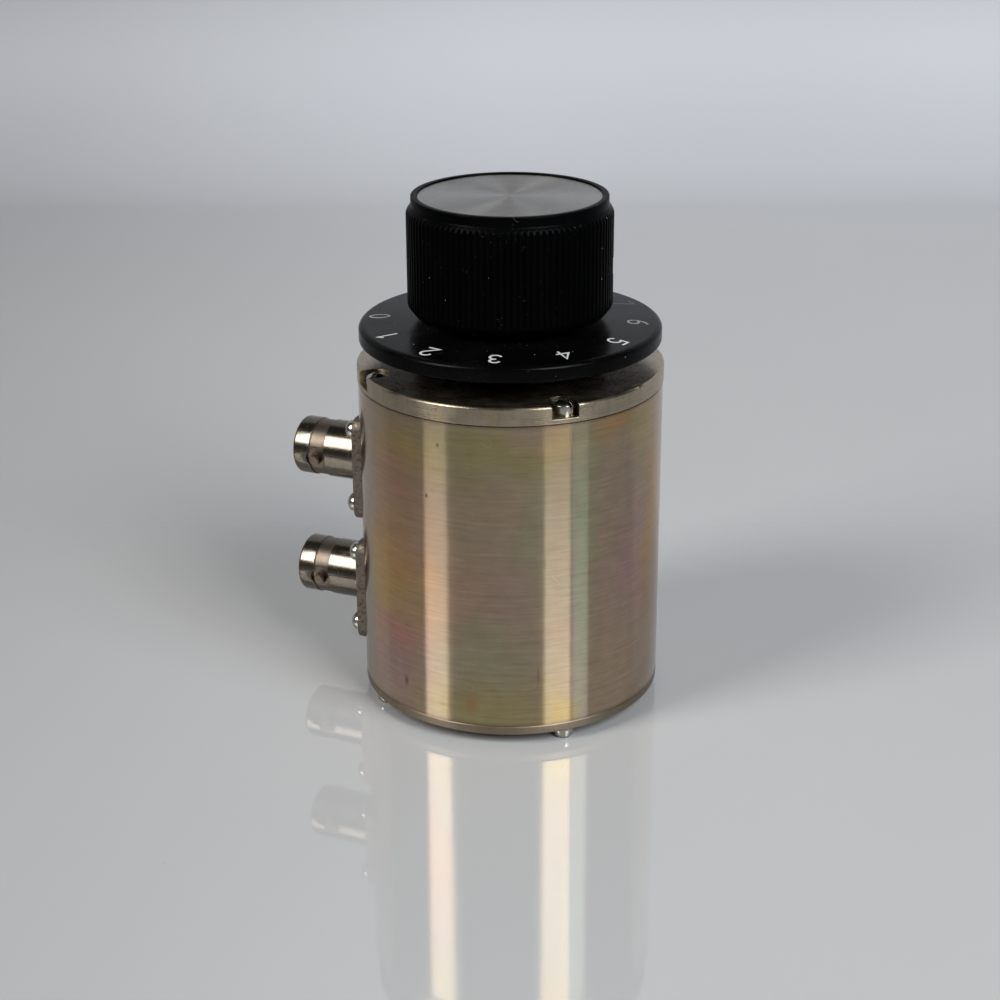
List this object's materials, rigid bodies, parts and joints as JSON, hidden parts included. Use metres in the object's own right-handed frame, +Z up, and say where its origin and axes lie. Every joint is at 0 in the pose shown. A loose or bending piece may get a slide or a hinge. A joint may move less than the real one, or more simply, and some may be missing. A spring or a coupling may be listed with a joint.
{
  "type": "antenna tuner",
  "caption": "Can-shaped antenna tuner: screwed round can with two bayonet coaxial jacks on its side and a fluted knob with a numbered skirt on top.",
  "frame": {"origin": "on the can's axis, in the plane that the four foot screws stand on", "axes": "+Z up along the can's axis towards the knob; -X the way both jacks point"},
  "size_m": [0.0617, 0.0486, 0.0826],
  "materials": {
    "chromate_tube": "yellow chromate over fine turning lines, satin with a pink and green sheen",
    "plate_metal": "dull satin plate with a slight haze",
    "nickel": "worn bright nickel",
    "screw_steel": "bright plated screws",
    "ptfe": "white fluoropolymer",
    "gold_contact": "gold plate",
    "grip_black": "black moulded plastic, dusty",
    "spun_aluminium": "spun finish",
    "skirt_black": "glossy black, dusty",
    "brass": "turned brass",
    "switch_metal": "zinc plated switch metal",
    "black_steel": "blackened steel",
    "phenolic": "paper phenolic",
    "silver_plate": "silver plate",
    "ferrite": "lacquered iron powder",
    "enamelled_copper": "enamelled copper",
    "nylon": "natural nylon",
    "capacitor_body": "dipped ceramic"
  },
  "bodies": {
    "can": {"can_tube": "chromate_tube", "top_plate": "plate_metal", "base_plate": "plate_metal", "top_screws": "screw_steel", "foot_screws": "screw_steel", "jack_shell_upper": "nickel", "jack_shell_lower": "nickel", "jack_insulator_upper": "ptfe", "jack_insulator_lower": "ptfe", "jack_contact_upper": "gold_contact", "jack_contact_lower": "gold_contact", "jack_screws_upper": "screw_steel", "jack_screws_lower": "screw_steel", "switch_bush": "nickel", "bush_nut": "nickel", "bush_washer": "switch_metal", "index_plate": "switch_metal", "detent_spring": "brass", "spring_posts": "switch_metal", "stator_wafer": "phenolic", "stator_clips": "silver_plate", "clip_rivets": "brass", "wafer_spacers": "switch_metal", "tie_rods": "switch_metal", "tie_nuts": "switch_metal", "coil_core": "ferrite", "coil_winding": "enamelled_copper", "coil_pad": "nylon", "coil_clamp": "nylon", "coil_screw": "nylon", "tap_wires": "enamelled_copper", "jack_lead_upper": "silver_plate", "jack_lead_lower": "silver_plate", "shunt_capacitor": "capacitor_body", "capacitor_leads": "silver_plate", "ground_post": "brass"},
    "dial": {"knob_grip": "grip_black", "knob_disc": "spun_aluminium", "dial_skirt": "skirt_black", "hub_bush": "brass", "set_screws": "black_steel", "star_wheel": "brass", "shaft": "switch_metal", "shaft_clip": "black_steel", "rotor_disc": "phenolic", "rotor_contact": "silver_plate"}
  },
  "joints": [
    {"name": "dial_turn", "type": "hinge", "parent": "can", "child": "dial", "pos_m": [0, 0, 0.06], "axis": [0, 0, 1], "range_deg": [-150, 150], "deforming": ["detent_spring"]}
  ]
}
